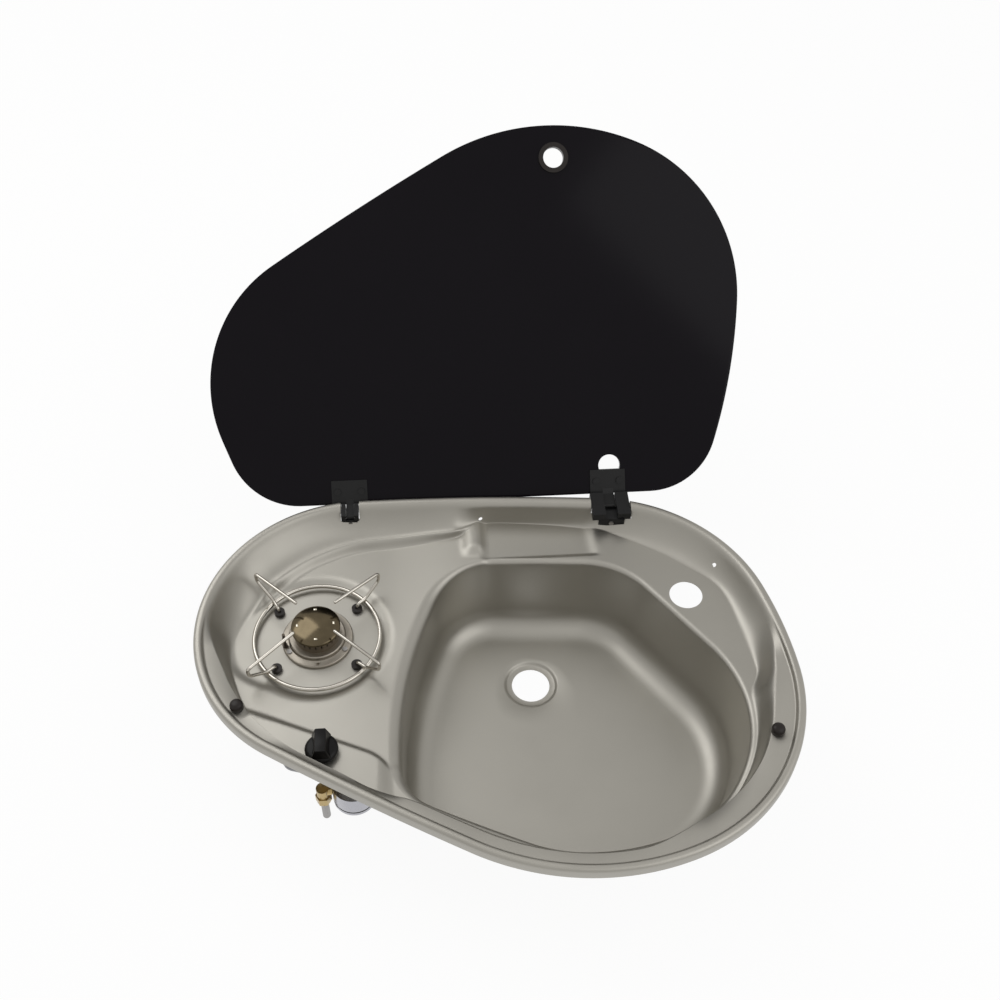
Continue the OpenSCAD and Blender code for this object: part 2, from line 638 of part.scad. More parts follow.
// From the tap's back to under the injector
module burner_pipe() {
    low = cup_bottom - 13;
    y0 = knob_y + tap_body_r;
    from = [knob_x, y0, tap_top - union_low];
    bend = from + [0, 22, 0];
    under = [burner_x, burner_y - 14, low];
    end = [burner_x, burner_y, low];
    color("#b0a38c") {
        rod(from, bend, burner_pipe_r);
        ball(bend, burner_pipe_r);
        rod(bend, under, burner_pipe_r);
        ball(under, burner_pipe_r);
        rod(under, end, burner_pipe_r);
        ball(end, burner_pipe_r);
        translate(end) cylinder(r = burner_pipe_r, h = 4);
    }
}
module burner_pipe_nuts() {
    color("#b58f3c") {
        translate([knob_x, knob_y + tap_body_r + 1, tap_top - union_low]) rotate([-90, 0, 0]) difference() {
            cylinder(r = 6.5, h = 9, $fn = 6);
            translate([0, 0, -1]) cylinder(r = burner_pipe_r + 0.02, h = 12);
        }
    }
}
module glass_lid() {
    color("#0d0c0e") opened() difference() {
        translate([0, 0, glass_z]) linear_extrude(glass_t) polygon(outline(lid_arcs, 0, 120));
        translate([finger_x, finger_y, 0]) cylinder(r = finger_bore_r + 1.5, h = 60);
        translate([hinge_right_x + 2.4, lid_back_y - 31, 0]) cylinder(r = light_hole_r, h = 60);
        for (x = [hinge_left_x, hinge_right_x]) clamp_holes(x, clamp_hole_r + glass_hole_gap);
    }
}
module clamp_holes(x, r) {
    for (s = [-1, 1]) translate([x + s * clamp_out, lid_back_y - clamp_back, 0]) cylinder(r = r, h = 60);
}
module hinge_plate(x, z) {
    translate([x - plate_w / 2, lid_back_y - plate_h - 1, z]) cube([plate_w, plate_h, plate_t]);
}
// The plate under the glass with the arm that reaches the pin
module hinge_arm(x, w) {
    color("#101010") opened() difference() {
        union() {
            hinge_plate(x, glass_z - plate_t);
            translate([x - w / 2, 0, 0]) rotate([90, 0, 90]) linear_extrude(w)
                polygon([[lid_back_y - 6, glass_z], [lid_back_y + 2, glass_z],
                    [hinge_y + 2.1, hinge_z + 1.5], [hinge_y - 1.8, hinge_z - 1.8],
                    [lid_back_y, glass_z - 3], [lid_back_y - 6, glass_z - 2]]);
            translate([x - w / 2, hinge_y, hinge_z]) rotate([0, 90, 0]) cylinder(r = knuckle_r, h = w);
        }
        translate([x - w, hinge_y, hinge_z]) rotate([0, 90, 0]) cylinder(r = pin_r + run_gap, h = 2 * w);
        clamp_holes(x, clamp_hole_r);
    }
}
module hinge_arm_left() {
    hinge_arm(hinge_left_x, 8.4);
}
module hinge_arm_right() {
    hinge_arm(hinge_right_x, 12.4);
}
module clamp_plates() {
    color("#101010") opened() for (x = [hinge_left_x, hinge_right_x])
        difference() {
            hinge_plate(x, glass_z + glass_t);
            clamp_holes(x, clamp_hole_r);
        }
}
module clamp_screws() {
    color("#202020") opened() for (x = [hinge_left_x, hinge_right_x], s = [-1, 1])
        translate([x + s * clamp_out, lid_back_y - clamp_back, glass_z - plate_t]) {
            cylinder(r = clamp_hole_r - 0.1, h = glass_t + 2 * plate_t);
            translate([0, 0, -1.7]) cylinder(r = 3.6, h = 1.7);
            translate([0, 0, glass_t + 2 * plate_t]) cylinder(r = 3.6, h = 2);
        }
}
module finger_grommet() {
    color("#1b1b1b") opened() translate([finger_x, finger_y, glass_z]) difference() {
        union() {
            translate([0, 0, -2]) cylinder(r = finger_r, h = 2);
            translate([0, 0, -1]) cylinder(r = finger_bore_r + 1.4, h = glass_t + 2);
            translate([0, 0, glass_t]) cylinder(r = finger_r, h = 2);
        }
        translate([0, 0, -5]) cylinder(r = finger_bore_r, h = 20);
    }
}
module pan_support() {
    top_in = rim_h + 0.5;
    top_out = rim_h - 4.5;
    over = ring_z + ring_wire + arm_wire - 0.4;
    path = [[arm_in, 0, top_in], [arm_out - 3, 0, top_out + 0.2], [arm_out, 0, top_out - 3],
        [arm_out, 0, top_out - 12], [arm_out - 3, 0, top_out - 15], [ring_r + 2, 0, over], [foot_at + 2, 0, over],
        [foot_at, 0, over - 2], [foot_at, 0, dish_z + 1.4]];
    color("#c4c0b8") {
        translate([burner_x, burner_y, ring_z]) rotate_extrude($fn = 96) translate([ring_r, 0]) circle(r = ring_wire, $fn = 32);
        at_arms() {
            for (i = [0:len(path) - 2]) rod(path[i], path[i + 1], arm_wire);
            for (i = [1:len(path) - 2]) ball(path[i], arm_wire);
        }
    }
}

tray_rim();
tray();
bowl();
rim_seal();
lid_bumpers();
hinge_bracket_left();
hinge_bracket_right();
hinge_pins();
bracket_screws();
support_grommets();
burner_flange();
flange_screws();
burner_head();
mixing_cup();
injector();
thermocouple();
gas_tap();
tap_nut();
tap_spring();
magnet_unit();
governor_housing();
governor_gasket();
governor_cover();
governor_bracket();
inlet_elbow();
inlet_nut();
inlet_pipe();
burner_pipe();
burner_pipe_nuts();
glass_lid();
hinge_arm_left();
hinge_arm_right();
clamp_plates();
clamp_screws();
finger_grommet();
pan_support();
burner_cap();
push_rod();
spindle();
knob();
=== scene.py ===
"""Looks of a hob and sink combination: a pressed steel tray under a hinged black glass lid."""
import json
import math

import bmesh
import bpy
from mathutils import Matrix, Vector


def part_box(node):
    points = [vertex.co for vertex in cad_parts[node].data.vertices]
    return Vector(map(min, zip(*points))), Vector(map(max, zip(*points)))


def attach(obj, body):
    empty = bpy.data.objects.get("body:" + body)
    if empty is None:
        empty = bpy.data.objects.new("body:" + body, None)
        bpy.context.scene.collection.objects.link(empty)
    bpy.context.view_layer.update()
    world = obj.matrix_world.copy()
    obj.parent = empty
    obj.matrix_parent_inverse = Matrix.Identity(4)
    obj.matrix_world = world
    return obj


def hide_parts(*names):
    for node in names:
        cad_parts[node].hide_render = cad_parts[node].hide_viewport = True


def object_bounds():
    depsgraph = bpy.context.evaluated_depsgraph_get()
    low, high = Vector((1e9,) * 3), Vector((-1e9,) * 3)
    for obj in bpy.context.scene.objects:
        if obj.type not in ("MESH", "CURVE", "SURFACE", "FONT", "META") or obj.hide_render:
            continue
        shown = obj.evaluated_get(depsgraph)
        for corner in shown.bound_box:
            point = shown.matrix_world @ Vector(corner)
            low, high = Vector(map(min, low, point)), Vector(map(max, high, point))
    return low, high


bl_info = {
    "name": "Hob and Sink Combination",
    "version": (1, 0, 0),
    "blender": (4, 5, 0),
    "location": "View3D > Sidebar > Hob and Sink",
    "description": "Builds the visible pieces and finishes of a hob and sink combination",
    "category": "Add Mesh",
}

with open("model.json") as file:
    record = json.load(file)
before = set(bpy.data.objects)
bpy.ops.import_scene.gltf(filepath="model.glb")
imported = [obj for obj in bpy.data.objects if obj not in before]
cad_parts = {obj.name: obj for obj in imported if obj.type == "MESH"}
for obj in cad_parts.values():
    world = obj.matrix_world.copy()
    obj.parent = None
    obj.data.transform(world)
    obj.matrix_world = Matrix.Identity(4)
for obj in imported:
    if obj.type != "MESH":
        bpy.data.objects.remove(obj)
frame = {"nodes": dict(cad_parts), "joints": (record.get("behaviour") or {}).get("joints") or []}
CAD_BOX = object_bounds()
MM = 0.001

# Heights and places read from the frame, in millimetres. The worktop is at height 0
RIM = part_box("tray_rim")[1].z / MM
CAP = (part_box("burner_cap")[0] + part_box("burner_cap")[1]) / 2 / MM
KNOB = (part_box("spindle")[0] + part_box("spindle")[1]) / 2 / MM
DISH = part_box("burner_flange")[0].z / MM
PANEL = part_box("tap_nut")[0].z / MM
HINGE = frame["joints"][0]
HINGE_AT = Vector(HINGE["pos_m"])
LID_OPEN = math.radians(HINGE["range_deg"][1])

# Heights that follow the rim
LEDGE = RIM - 5.5
DECK = RIM - 34
BACK = RIM - 27
FLOOR = RIM - 125
GLASS = RIM + 3.5

# Corner circles (centre X, centre Y, radius) and side radii of the rim, the bowl and the glass
RIM_CORNERS = ((-135.8, 57.8, 164.6), (50.5, -37.9, 176.4), (107, -26.4, 193.1),
               (112.3, 33.8, 178.4))
RIM_SIDES = (3419, 257, 445, 2432)
BOWL_CORNERS = ((-50, -81, 57), (80, -37, 153), (114, -49, 136), (96, 56, 90), (7, 70, 83))
BOWL_SIDES = (1800, 220, 90000, 60000, 430)
LID_CORNERS = ((-133.4, 65.5, 156.3), (52.9, -28.2, 169.8), (112.3, -23.4, 177.6),
               (187.7, 117.4, 76.6), (-198.2, 116, 78))
LID_SIDES = (3481, 242, 610, 60000, 1625)

# Bead round the rim, as arcs of its section: (centre's inset, drop, radius, first angle, last angle, steps)
BEAD_ARCS = ((4, 4, 4, 180, 90, 5), (5.5, 3.5, 3.5, 90, 0, 5), (11, 3.5, 2, 180, 270, 3))
BEAD_FOOT = 4
BEAD_CREST = 5.5
BEAD_INNER = 7

# Lid ledge inside the bead: where it starts, and how much it widens at each side
LEDGE_START = 12.5
FRONT_LEDGE = 7.5
RIGHT_LEDGE = 9
LEFT_LEDGE = 12
CORNER_LEDGE = 2.5
LEDGE_FULL = 6

# Foot of the wall on the deck: (angle round the origin in degrees, inset from the rim). It bulges in at
# the tap deck and behind the burner, and steps back for the soap dish
WALL_FOOT = ((0, 36), (10, 36), (18, 32), (23, 30), (27, 33), (33, 39), (44, 39), (54, 32), (58, 24),
             (70, 18), (83, 15), (91, 15), (97, 31), (106, 32), (118, 35), (131, 43), (143, 45),
             (155, 43), (162, 38), (170, 33), (180, 33), (188, 30), (196, 18), (230, 16), (255, 17),
             (262, 19), (359, 36))

# Forms pressed into the deck
SHELF = 8
SOAP_DEPTH = 2.4
RIB = 4.5
DISH_EDGE = 79
DISH_BULGE = 18
DISH_SLOPE = 13

# Bowl: radius between wall and floor, lean of the wall, and how far its edge stands outside the outline
FILLET = 28
LEAN = 13
BOWL_EDGE = 1.5

# Seat of the drain: (distance out from the hole's edge, drop below the floor)
DRAIN_SEAT = ((9.5, 0), (8.5, 0.3), (7, 1.5), (6, 2.6), (5, 3), (0, 3))

# Holes: (X, Y, radius), or a radius alone for those on the axis of the burner, the knob or a foot
DRAIN = (43, 54, 20.5)
TAP = (208, 92, 17.5)
FINGER_HOLE = (90.7, -172.1, 12.5)
LIGHT_HOLE = (142.4, 163, 12)
BURNER_HOLE = 25.5
KNOB_HOLE = 6.3
FOOT_HOLE = 3.5
FIXING_HOLE = 2.2
FLANGE_HOLE = 1.7

# Notches in the rim under the hinges (X, width, nearest Y, farthest Y), and the plates that close them
NOTCHES = ((-145.5, 20.2, 198.2, 228.2), (140, 43.2, 187.2, 221.2))
PLATE_DEPTHS = (("left", 4), ("right", 18.3))
PLATE = 0.35
PLATE_DROP = 0.225

# Pan support: angles of the arms and their feet, how far each arm reaches out, and the radii it is set on
ARM_ANGLES = (41, 135, 221, -41)
FOOT_ANGLES = (41, 139, 221, -41)
ARM_REACHES = (86, 90, 86, 86)
ARM_TIP = 27.5
ARM_BEND = 66
FOOT_AT = 53.5
HOOP_AT = 64.5
WIRE_BEND = 4.5
# Rounded end of a wire: (distance out, size), in wire radii
WIRE_END = ((0.35, 0.94), (0.75, 0.66), (1.0, 0.12))

# Burner: cap, lugs on it and flange
CAP_RADIUS = 25
LUG_SIZE = (2.2, 3.6, 3)
LUG_AT = 18.5
FLANGE_BORE = 19
FLANGE_HOLE_AT = 32.9

# Lid bumpers on the ledge
BUMPERS = ((-252, -31.8), (262.9, -90))

# Glass: its rounded edge as (inset, height)
GLASS_EDGE = ((3, 0), (1.1, 0), (0.5, 0.15), (0.15, 0.5), (0, 1.1), (0, 3.9), (0.15, 4.5), (0.5, 4.85),
              (1.1, 5), (3, 5))
GLASS_MIDDLE = 2.5

# Photograph's camera, in millimetres and degrees. Its height is above the rim
CAMERA_DOWN = 48.89
CAMERA_TURN = 5.16
CAMERA_ROLL = 1.38
CAMERA_AT = (-62.9, -692.0, 1041.0)
LENS = 45.35

# Stage: sizes in metres. The glow is the share of white that the floor shows of itself
FLOOR_HALF = 6
FLOOR_GLOW = 0.93
WORLD_SHADE = (1, 0.99, 0.97)
WORLD_STRENGTH = 0.7
LAMPS = (("key", (-0.9, 0.9, 1.5), 1.2, 1.0), ("fill", (1.2, -0.6, 1.4), 1.5, 0.8))

# Points round each ring of the tray and the glass, and rings down each part of the tray
STEPS = 400
WALL_ROWS = 14
DECK_ROWS = 52
BOWL_ROWS = 6
FLOOR_ROWS = 7


def angle_of(v):
    return math.atan2(v.y, v.x)


def corner_arcs(corners, sides):
    """All arcs of an outline as (centre, radius, first angle, last angle)."""
    count = len(corners)
    centres = []
    for i, big in enumerate(sides):
        a = corners[i]
        b = corners[(i + 1) % count]
        step = Vector(b[:2]) - Vector(a[:2])
        span = step.length
        along = step / span
        across = Vector((-along.y, along.x))
        first = big - a[2]
        t = (first ** 2 - (big - b[2]) ** 2 + span ** 2) / (2 * span)
        centres.append(Vector(a[:2]) + along * t + across * math.sqrt(first ** 2 - t ** 2))
    arcs = []
    for i, (x, y, radius) in enumerate(corners):
        here = Vector((x, y))
        after = Vector(corners[(i + 1) % count][:2])
        start = angle_of(here - centres[i - 1])
        end = angle_of(here - centres[i])
        far = angle_of(after - centres[i])
        arcs.append((here, radius, start, start + (end - start) % math.tau))
        arcs.append((centres[i], sides[i], end, end + (far - end) % math.tau))
    return arcs


def reach(arcs, angle):
    """Where the ray at an angle from the origin leaves the outline, and the outline's normal there."""
    ray = Vector((math.cos(angle), math.sin(angle)))
    for centre, radius, start, end in arcs:
        half = centre.dot(ray)
        square = half * half - centre.length_squared + radius * radius
        if square < 0:
            continue
        distance = half + math.sqrt(square)
        facing = angle_of(ray * distance - centre)
        if distance > 0 and (facing - start) % math.tau <= end - start + 1e-5:
            return ray * distance, Vector((math.cos(facing), math.sin(facing)))
    raise ValueError("the ray misses the outline")


ANGLES = [math.tau * i / STEPS - math.pi for i in range(STEPS)]
RIM_REACH = [reach(corner_arcs(RIM_CORNERS, RIM_SIDES), t) for t in ANGLES]
BOWL_REACH = [reach(corner_arcs(BOWL_CORNERS, BOWL_SIDES), t) for t in ANGLES]
LID_REACH = [reach(corner_arcs(LID_CORNERS, LID_SIDES), t) for t in ANGLES]


def ease(x):
    """Rises smoothly from 0 to 1 while x does."""
    c = min(max(x, 0.0), 1.0)
    return c * c * (3 - 2 * c)


def bump(t, a, b, c, d):
    """Rises from 0 to 1 between a and b, and falls back between c and d."""
    return ease((t - a) / (b - a)) * (1 - ease((t - c) / (d - c)))


def follow(table, t):
    """A value read from a table of (angle, value), with its corners rounded over a few degrees."""
    total = 0
    for shift in range(-3, 4):
        a = (t + shift) % 360
        k = max(i for i, row in enumerate(table) if row[0] <= a)
        low, high = table[k], table[min(k + 1, len(table) - 1)]
        share = 0 if high is low else (a - low[0]) / (high[0] - low[0])
        total += low[1] + (high[1] - low[1]) * share
    return total / 7


def arc_points(centre, radius, start, end, count):
    """Points of an arc in the plane, angles in degrees."""
    points = []
    for i in range(count + 1):
        a = math.radians(start + (end - start) * i / count)
        points.append((centre[0] + radius * math.cos(a), centre[1] + radius * math.sin(a)))
    return points


def ledge_width(t):
    """Width of the lid ledge inside the bead, at an angle in degrees."""
    back = t % 360
    return (FRONT_LEDGE * bump(t, -138, -118, -14, 10) + RIGHT_LEDGE * bump(t, -62, -46, -14, 8)
            + LEFT_LEDGE * bump(back, 164, 180, 186, 206) + CORNER_LEDGE * bump(back, 190, 200, 216, 232))


def ledge_share(t):
    """1 where the ledge is wide, and 0 where the bead runs straight over into the wall."""
    return min(ledge_width(t) / LEDGE_FULL, 1)


def bowl_side(t):
    """How far the wall runs into the bowl, with no deck between: 1 at the front, 0 at the back."""
    return bump(t, -136, -120, -9, 0)


def shelf_height(t):
    """The narrow shelf behind the burner, above the deck, at an angle in degrees."""
    return SHELF * bump(t % 360, 93, 98, 146, 160)


def lip_size(t):
    """Radius of the bowl's rolled edge: tight at the back and right, soft at the left."""
    return 6 + 7 * bump(t % 360, 95, 130, 215, 245)


def deck_height(x, y):
    """Height of the pressed deck at a place, with the soap dish, rib, knob panel and burner dish in it."""
    off = Vector((x - CAP.x, y - CAP.y))
    around = math.degrees(angle_of(off)) % 360
    edge = DISH_EDGE + DISH_BULGE * bump(around, 105, 150, 195, 240)
    base = DECK + (BACK - DECK) * ease((x + 110) / 120) * ease((y + 90) / 60 + ease(x / 60))
    slant = x + 0.1 * (y - 161)
    soap = SOAP_DEPTH * ease((x + 6) / 8) * (1 - ease((slant - 110) / 15)) * ease((y - 150) / 6)
    rib = RIB * bump(x, -28, -15, -9, 3) * ease((y - 156) / 16)
    fold = -15 - 0.447 * (x + 250) - 0.0175 * max(x + 130, 0) ** 2
    panel = (PANEL - DECK) * bump(x, -262, -244, -119, -105) * ease((fold - y) / 6)
    dish = (DECK - DISH) * (1 - ease((off.length - edge + DISH_SLOPE) / DISH_SLOPE))
    return base - soap + rib + panel - dish


def offset_ring(reached, inset, height):
    """A ring inside an outline, at one height."""
    return [(p.x - inset * n.x, p.y - inset * n.y, height) for p, n in reached]


def blend_ring(outer, inner, share):
    """A ring between two others."""
    return [tuple(a[k] + (b[k] - a[k]) * share for k in range(3)) for a, b in zip(outer, inner)]


def bead_ring(inset, height):
    """A ring of the bead. Its inner side drops to the ledge, or runs over into the wall."""
    ring = []
    for angle, (p, n) in zip(ANGLES, RIM_REACH):
        flat = ledge_share(math.degrees(angle))
        inner = max(inset - BEAD_CREST, 0)
        smooth = RIM - (RIM - LEDGE) * (inner / BEAD_INNER) ** 2
        z = height * flat + smooth * (1 - flat) if inner else height
        ring.append((p.x - inset * n.x, p.y - inset * n.y, z))
    return ring


def wall_line(t, p, n, run):
    """A place on the wall in plan: 0 is the ledge's inner edge and 1 the foot on the deck."""
    ledge = LEDGE_START + ledge_width(t)
    foot = max(follow(WALL_FOOT, t), ledge + 2.5)
    return p - n * (ledge + (foot - ledge) * run)


def wall_ring(run):
    """A ring of the wall, from the ledge at 0 to its foot at 1."""
    ring = []
    for angle, (p, n), (b, m) in zip(ANGLES, RIM_REACH, BOWL_REACH):
        t = math.degrees(angle)
        top = wall_line(t, p, n, 0)
        foot = wall_line(t, p, n, 1).lerp(b + m * BOWL_EDGE, bowl_side(t))
        place = top.lerp(foot, run)
        flat = ledge_share(t)
        fall = (1 - (1 - run) ** 1.7) * (1 - flat) + ease(run) * flat
        low = deck_height(foot.x, foot.y) + shelf_height(t)
        ring.append((place.x, place.y, LEDGE + fall * (low - LEDGE)))
    return ring


def deck_ring(outer, inner, share):
    """One ring of the deck, from the wall's foot to the bowl's edge."""
    ring = []
    for angle, a, b in zip(ANGLES, outer, inner):
        away = share * math.dist(a[:2], b[:2])
        x = a[0] + (b[0] - a[0]) * share
        y = a[1] + (b[1] - a[1]) * share
        t = math.degrees(angle)
        slope = 3 + 8 * bump(t % 360, 93, 118, 140, 160)
        shelf = shelf_height(t) * (1 - ease((away - 2) / slope))
        ring.append((x, y, deck_height(x, y) + shelf))
    return ring


def lip_ring(edge, inset, drop):
    """One ring of the bowl's rolled edge, from its section with a radius of 1."""
    ring = []
    for angle, (p, n), (_, _, z) in zip(ANGLES, BOWL_REACH, edge):
        size = lip_size(math.degrees(angle))
        away = inset * size - BOWL_EDGE
        ring.append((p.x - away * n.x, p.y - away * n.y, z + drop * size))
    return ring


def drain_ring(out, drop):
    """A ring round the drain hole."""
    radius = DRAIN[2] + out
    return [(DRAIN[0] + radius * math.cos(t), DRAIN[1] + radius * math.sin(t), FLOOR - drop)
            for t in ANGLES]


def tray_rings():
    """Rings of the tray's upper surface, from the rim's outer edge to the drain hole."""
    bead = [(0, 0), (0, BEAD_FOOT)]
    for inset, drop, radius, start, end, count in BEAD_ARCS:
        bead += arc_points((inset, RIM - drop), radius, start, end, count)
    rings = [bead_ring(inset, height) for inset, height in bead]
    rings += [wall_ring(i / WALL_ROWS) for i in range(WALL_ROWS + 1)]
    foot = rings[-1]
    edge = offset_ring(BOWL_REACH, -BOWL_EDGE, 0)
    rings += [deck_ring(foot, edge, (i / DECK_ROWS) ** 1.25) for i in range(1, DECK_ROWS + 1)]
    edge = rings[-1]
    rings += [lip_ring(edge, inset, drop) for inset, drop in arc_points((0, -1), 1, 90, 8, 6)[1:]]
    wall_top = rings[-1]
    wall_foot = offset_ring(BOWL_REACH, LEAN, FLOOR + FILLET)
    rings += [blend_ring(wall_top, wall_foot, i / BOWL_ROWS) for i in range(1, BOWL_ROWS + 1)]
    for inset, height in arc_points((LEAN + FILLET, FLOOR + FILLET), FILLET, 180, 270, 9)[1:]:
        rings.append(offset_ring(BOWL_REACH, inset, height))
    bottom = rings[-1]
    seat = drain_ring(*DRAIN_SEAT[0])
    rings += [blend_ring(bottom, seat, i / FLOOR_ROWS) for i in range(1, FLOOR_ROWS)]
    rings += [drain_ring(out, drop) for out, drop in DRAIN_SEAT]
    return rings


def round_cap(out, degrees):
    """A place in plan at a distance and angle from the burner's axis."""
    a = math.radians(degrees)
    return CAP.x + out * math.cos(a), CAP.y + out * math.sin(a)


def stack_rings(bm, rings):
    """Starts from a circle laid on the first ring and extrudes it from ring to ring."""
    verts = bmesh.ops.create_circle(bm, segments=len(rings[0]), radius=1)["verts"]
    for v, p in zip(verts, rings[0]):
        v.co = Vector(p) * MM
    edges = list({e for v in verts for e in v.link_edges})
    place = {v: i for i, v in enumerate(verts)}
    for ring in rings[1:]:
        made = bmesh.ops.extrude_edge_only(bm, edges=edges)["geom"]
        fresh = {}
        for v in made:
            if isinstance(v, bmesh.types.BMVert):
                fresh[v] = next(place[e.other_vert(v)] for e in v.link_edges if e.other_vert(v) in place)
        for v, i in fresh.items():
            v.co = Vector(ring[i]) * MM
        edges = [e for e in made if isinstance(e, bmesh.types.BMEdge)
                 and e.verts[0] in fresh and e.verts[1] in fresh]
        place = fresh
    return verts, list(place)


def lathe(bm, profile, centre, segments=96):
    """Spins a profile of (radius, height) round an upright axis, all in millimetres."""
    verts = [bm.verts.new(Vector((centre[0] + r, centre[1], z)) * MM) for r, z in profile]
    edges = [bm.edges.new(pair) for pair in zip(verts, verts[1:])]
    bmesh.ops.spin(bm, geom=verts + edges, cent=Vector((centre[0], centre[1], 0)) * MM, axis=(0, 0, 1),
                   angle=math.tau, steps=segments, use_merge=True)


def block(bm, size, middle, degrees=0):
    """A box with its size and middle in millimetres, turned about its upright axis."""
    verts = bmesh.ops.create_cube(bm, size=1)["verts"]
    bmesh.ops.scale(bm, vec=Vector(size) * MM, verts=verts)
    turned = Matrix.Rotation(math.radians(degrees), 3, "Z")
    bmesh.ops.rotate(bm, cent=(0, 0, 0), matrix=turned, verts=verts)
    bmesh.ops.translate(bm, vec=Vector(middle) * MM, verts=verts)
    return verts


def bent(path, radius):
    """The path with its corners rounded off."""
    points = [path[0]]
    for before, here, after in zip(path, path[1:], path[2:]):
        back = before - here
        on = after - here
        size = min(radius, back.length * 0.48, on.length * 0.48)
        a = here + back.normalized() * size
        b = here + on.normalized() * size
        for i in range(7):
            s = i / 6
            points.append(a.lerp(here, s).lerp(here.lerp(b, s), s))
    return points + [path[-1]]


def wire(bm, path, radius, side, sides=16):
    """Extrudes a round wire along a path that lies in the plane across the given side vector."""
    rings = []
    count = len(path)
    for i, point in enumerate(path):
        along = (path[min(i + 1, count - 1)] - path[max(i - 1, 0)]).normalized()
        over = side.cross(along)
        turns = [math.tau * k / sides for k in range(sides)]
        wheel = [side * math.cos(turn) + over * math.sin(turn) for turn in turns]
        if i == 0:
            rings += [[tuple(point - along * out * radius + w * size * radius) for w in wheel]
                      for out, size in reversed(WIRE_END)]
        rings.append([tuple(point + w * radius) for w in wheel])
        if i == count - 1:
            rings += [[tuple(point + along * out * radius + w * size * radius) for w in wheel]
                      for out, size in WIRE_END]
    first, last = stack_rings(bm, rings)
    bm.faces.new(first)
    bm.faces.new(last)


def finish_mesh(bm, name, material, body, cad=(), smooth=40):
    """Turns a bmesh into an object that rides on a body and stands for CAD nodes."""
    bmesh.ops.remove_doubles(bm, verts=bm.verts, dist=1e-6)
    bmesh.ops.recalc_face_normals(bm, faces=bm.faces)
    mesh = bpy.data.meshes.new(name)
    bm.to_mesh(mesh)
    bm.free()
    obj = bpy.data.objects.new(name, mesh)
    bpy.context.scene.collection.objects.link(obj)
    for face in mesh.polygons:
        face.use_smooth = True
    mesh.set_sharp_from_angle(angle=math.radians(smooth))
    mesh.materials.append(material)
    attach(obj, body)
    if cad:
        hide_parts(*cad)
    return obj


def apply_modifiers(obj):
    """Puts the shape that the modifiers give into the mesh itself."""
    graph = bpy.context.evaluated_depsgraph_get()
    mesh = bpy.data.meshes.new_from_object(obj.evaluated_get(graph))
    old = obj.data
    obj.modifiers.clear()
    obj.data = mesh
    bpy.data.meshes.remove(old)


def cut_with(obj, bm):
    """Takes the closed forms in a bmesh away from a piece."""
    mesh = bpy.data.meshes.new("cutter")
    bm.to_mesh(mesh)
    bm.free()
    cutter = bpy.data.objects.new("cutter", mesh)
    bpy.context.scene.collection.objects.link(cutter)
    cut = obj.modifiers.new("Cut", "BOOLEAN")
    cut.operation = "DIFFERENCE"
    cut.solver = "EXACT"
    cut.object = cutter
    apply_modifiers(obj)
    bpy.data.objects.remove(cutter)
    bpy.data.meshes.remove(mesh)


def drill(obj, holes, smooth):
    """Cuts round holes through a piece; each is (place, direction, radius, depth) in millimetres."""
    bm = bmesh.new()
    for place, direction, radius, depth in holes:
        turned = Vector(direction).to_track_quat("Z", "Y").to_matrix().to_4x4()
        bmesh.ops.create_cone(bm, cap_ends=True, segments=64, radius1=radius * MM, radius2=radius * MM,
                              depth=depth * MM, matrix=Matrix.Translation(Vector(place) * MM) @ turned)
    cut_with(obj, bm)
    obj.data.set_sharp_from_angle(angle=math.radians(smooth))


def group(name, inputs, outputs):
    """An empty shader node group with its sockets."""
    tree = bpy.data.node_groups.new(name, "ShaderNodeTree")
    for label, kind, value in inputs:
        socket = tree.interface.new_socket(label, in_out="INPUT", socket_type=kind)
        socket.default_value = value
    for label, kind in outputs:
        tree.interface.new_socket(label, in_out="OUTPUT", socket_type=kind)
    return tree, tree.nodes.new("NodeGroupInput"), tree.nodes.new("NodeGroupOutput")


def satin_group():
    """Satin finish: cloudy colour, roughness clouds and a fine grain."""
    tree, given, out = group("Satin", [
        ("Light", "NodeSocketColor", (0.5, 0.5, 0.5, 1)), ("Dark", "NodeSocketColor", (0.4, 0.4, 0.4, 1)),
        ("Cloud Scale", "NodeSocketFloat", 9.0), ("Grain Scale", "NodeSocketFloat", 900.0),
        ("Rough Low", "NodeSocketFloat", 0.3), ("Rough High", "NodeSocketFloat", 0.42)],
        [("Color", "NodeSocketColor"), ("Roughness", "NodeSocketFloat"), ("Height", "NodeSocketFloat")])
    nodes, links = tree.nodes, tree.links
    place = nodes.new("ShaderNodeTexCoord")
    cloud = nodes.new("ShaderNodeTexNoise")
    cloud.inputs["Detail"].default_value = 5
    cloud.inputs["Roughness"].default_value = 0.6
    grain = nodes.new("ShaderNodeTexNoise")
    grain.inputs["Detail"].default_value = 3
    mix = nodes.new("ShaderNodeMix")
    mix.data_type = "RGBA"
    rough = nodes.new("ShaderNodeMapRange")
    rough.inputs["From Min"].default_value = 0.3
    rough.inputs["From Max"].default_value = 0.7
    links.new(place.outputs["Object"], cloud.inputs["Vector"])
    links.new(place.outputs["Object"], grain.inputs["Vector"])
    links.new(given.outputs["Cloud Scale"], cloud.inputs["Scale"])
    links.new(given.outputs["Grain Scale"], grain.inputs["Scale"])
    links.new(cloud.outputs["Fac"], mix.inputs["Factor"])
    links.new(given.outputs["Dark"], mix.inputs["A"])
    links.new(given.outputs["Light"], mix.inputs["B"])
    links.new(cloud.outputs["Fac"], rough.inputs["Value"])
    links.new(given.outputs["Rough Low"], rough.inputs["To Min"])
    links.new(given.outputs["Rough High"], rough.inputs["To Max"])
    links.new(mix.outputs["Result"], out.inputs["Color"])
    links.new(rough.outputs["Result"], out.inputs["Roughness"])
    links.new(grain.outputs["Fac"], out.inputs["Height"])
    return tree


